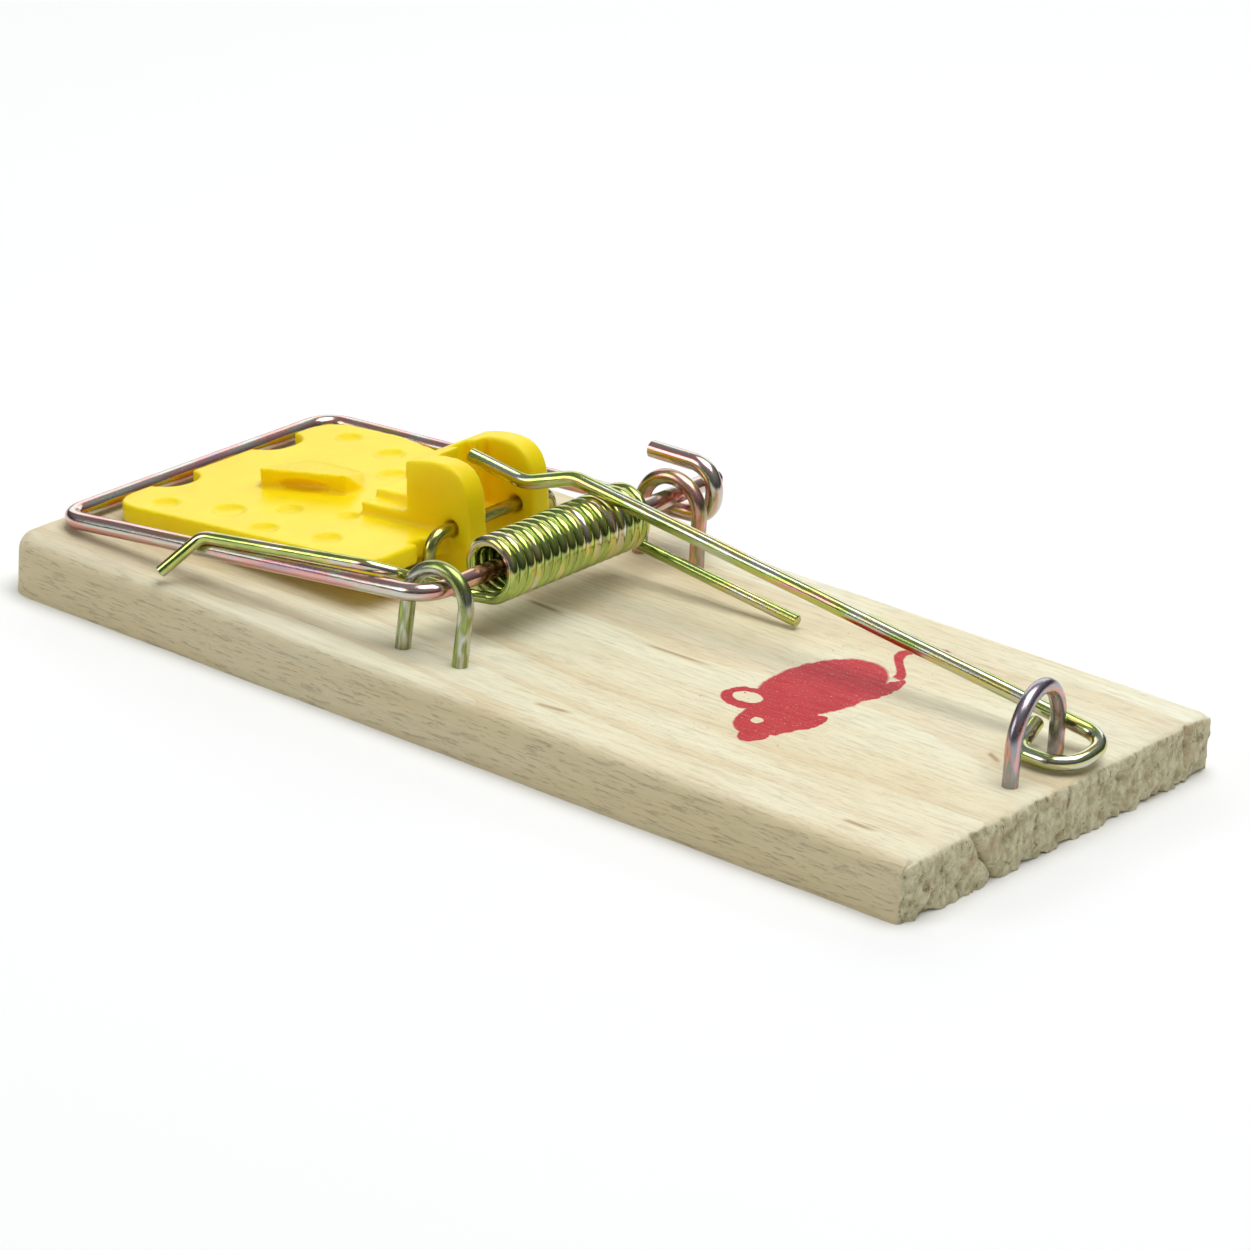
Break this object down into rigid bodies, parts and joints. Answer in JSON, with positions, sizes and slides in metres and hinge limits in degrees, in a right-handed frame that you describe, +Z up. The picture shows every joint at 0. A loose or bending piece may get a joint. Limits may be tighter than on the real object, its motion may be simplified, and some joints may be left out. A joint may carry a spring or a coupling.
{
  "type": "snap mouse trap",
  "caption": "Snap mouse trap: wooden board, wire hammer on a torsion spring, staples, locking bar and yellow plastic bait pedal.",
  "frame": {"origin": "centre of the board's underside", "axes": "+X along the board towards the locking bar's staple, +Y across the board, +Z up"},
  "size_m": [0.1, 0.045, 0.0167],
  "materials": {
    "pine": "planed faces, rough sawn ends",
    "hammer_zinc": "bright yellow-passivated zinc, rosy",
    "spring_zinc": "bright yellow-passivated zinc, green-gold",
    "staple_zinc": "yellow-passivated zinc, grey",
    "yellow_plastic": "satin moulded"
  },
  "bodies": {
    "base": {"base_board": "pine", "near_axle_staple": "staple_zinc", "far_axle_staple": "staple_zinc", "latch_staple": "staple_zinc", "pedal_pivot_wire": "staple_zinc", "spring_coil": "spring_zinc"},
    "hammer_frame": {"hammer": "hammer_zinc", "spring_striking_leg": "spring_zinc"},
    "pedal": {"bait_pedal": "yellow_plastic"},
    "latch": {"latch_bar": "spring_zinc"}
  },
  "joints": [
    {"name": "hammer_swing", "type": "hinge", "parent": "base", "child": "hammer_frame", "pos_m": [-0.0049, 0, 0.0114], "axis": [0, 1, 0], "range_deg": [0, 186], "stiffness_Nm_per_rad": 0.05, "springref_deg": -68.75},
    {"name": "pedal_tilt", "type": "hinge", "parent": "base", "child": "pedal", "pos_m": [-0.0141, 0, 0.011], "axis": [0, 1, 0], "range_deg": [0, 12]},
    {"name": "latch_swing", "type": "hinge", "parent": "base", "child": "latch", "pos_m": [0.049, 0.0044, 0.00716], "axis": [0, 1, 0], "range_deg": [0, 26]}
  ]
}
